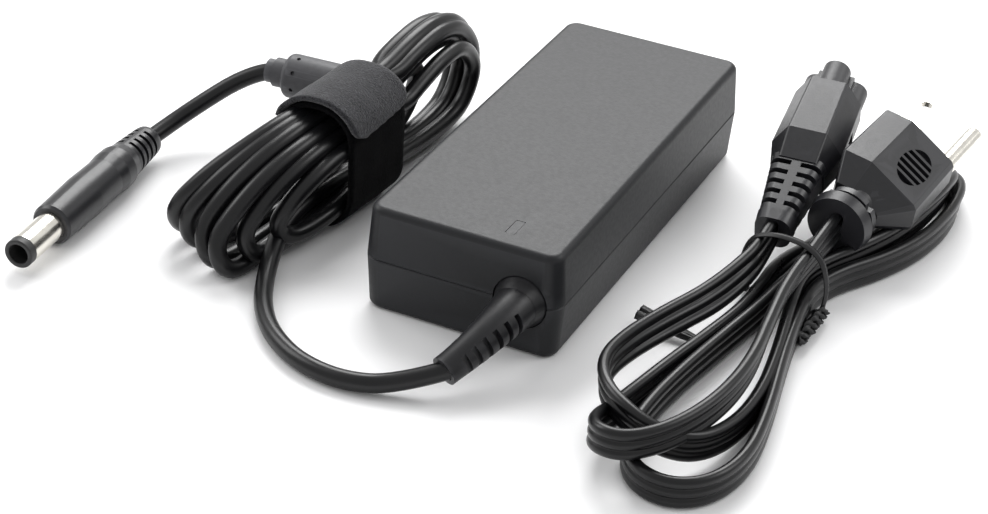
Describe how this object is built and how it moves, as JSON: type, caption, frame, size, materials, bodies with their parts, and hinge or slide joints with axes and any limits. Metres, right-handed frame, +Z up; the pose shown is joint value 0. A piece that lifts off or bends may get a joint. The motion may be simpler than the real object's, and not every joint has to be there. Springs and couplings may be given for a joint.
{
  "type": "laptop power adapter",
  "caption": "Laptop mains adapter: two-shell brick with a strapped DC lead, ferrite and barrel plug, and a separate tied mains lead.",
  "frame": {"origin": "centre of the brick's underside, on the surface that everything lies on", "axes": "+Y along the brick from the DC lead's end to the mains inlet, +Z up from the underside to the top, +X to the side that the mains lead lies on"},
  "size_m": [0.1971, 0.1631, 0.0372],
  "materials": {
    "case_plastic": "fine spark texture, matte black",
    "window_plastic": "smooth dark light pipe",
    "label_film": "plain printed film, blank",
    "inlet_plastic": "satin moulded",
    "plated_contact": "plated, satin",
    "insulator_film": "translucent film",
    "board_laminate": "solder resist over laminate",
    "heatsink_aluminium": "stamped, satin",
    "fuse_body": "glazed tube with end caps",
    "film_capacitor_case": "moulded box",
    "ferrite_ceramic": "sintered ferrite",
    "copper_wire": "enamelled copper",
    "chip_epoxy": "moulded epoxy",
    "capacitor_sleeve": "shrink sleeve",
    "winding_tape": "polyester tape",
    "disc_coating": "epoxy dipped",
    "led_resin": "diffused resin",
    "wire_insulation": "PVC insulation",
    "moulded_pvc": "satin moulded PVC",
    "dc_cord_pvc": "semi-gloss PVC jacket",
    "hook_loop_fabric": "hook-and-loop tape, fuzzy",
    "sleeve_plastic": "satin moulded sleeve",
    "liner_plastic": "moulded insulator",
    "nickel_plate": "bright nickel plate",
    "insert_plastic": "glass-filled plastic",
    "mains_cord_pvc": "glossy ribbed PVC jacket",
    "tie_plastic": "plastic-coated wire"
  },
  "bodies": {
    "root": {"top_cover": "case_plastic", "bottom_case": "case_plastic", "indicator_window": "window_plastic", "rating_label": "label_film", "inlet_housing": "inlet_plastic", "inlet_pins": "plated_contact", "insulator_sheet": "insulator_film", "circuit_board": "board_laminate", "heat_spreader": "heatsink_aluminium", "mains_fuse": "fuse_body", "x_capacitor": "film_capacitor_case", "choke_core": "ferrite_ceramic", "choke_windings": "copper_wire", "bridge_rectifier": "chip_epoxy", "bulk_capacitor": "capacitor_sleeve", "primary_heatsink": "heatsink_aluminium", "switching_transistor": "chip_epoxy", "transformer_core": "ferrite_ceramic", "transformer_winding": "winding_tape", "y_capacitor": "disc_coating", "optocoupler": "chip_epoxy", "secondary_heatsink": "heatsink_aluminium", "output_rectifier": "chip_epoxy", "output_capacitors": "capacitor_sleeve", "indicator_led": "led_resin", "output_wires": "wire_insulation", "dc_strain_relief": "moulded_pvc", "dc_cord_lead": "dc_cord_pvc", "dc_cord_tail": "dc_cord_pvc", "dc_cord_hank": "dc_cord_pvc", "cable_strap": "hook_loop_fabric", "ferrite_core": "ferrite_ceramic", "ferrite_sleeve": "sleeve_plastic", "dc_plug_handle": "moulded_pvc", "dc_plug_barrel": "nickel_plate", "dc_plug_liner": "liner_plastic", "dc_plug_tip_ring": "liner_plastic", "dc_plug_centre_pin": "plated_contact"},
    "strap_tail": {"cable_strap_tail": "hook_loop_fabric"},
    "mains_lead": {"connector_overmould": "moulded_pvc", "connector_insert": "insert_plastic", "connector_contacts": "plated_contact", "mains_plug_overmould": "moulded_pvc", "line_blade": "nickel_plate", "neutral_blade": "nickel_plate", "earth_pin": "nickel_plate", "mains_cord_hank": "mains_cord_pvc", "twist_tie": "tie_plastic", "twist_tie_ends": "tie_plastic"}
  },
  "joints": [
    {"name": "strap_tail_peel", "type": "hinge", "parent": "root", "child": "strap_tail", "pos_m": [-0.0555, -0.0195, 0.0331], "axis": [0, -1, 0], "range_deg": [0, 100]},
    {"name": "mains_lead_lift", "type": "slide", "parent": "root", "child": "mains_lead", "axis": [0, 0, 1], "range_m": [0, 0.08]}
  ]
}
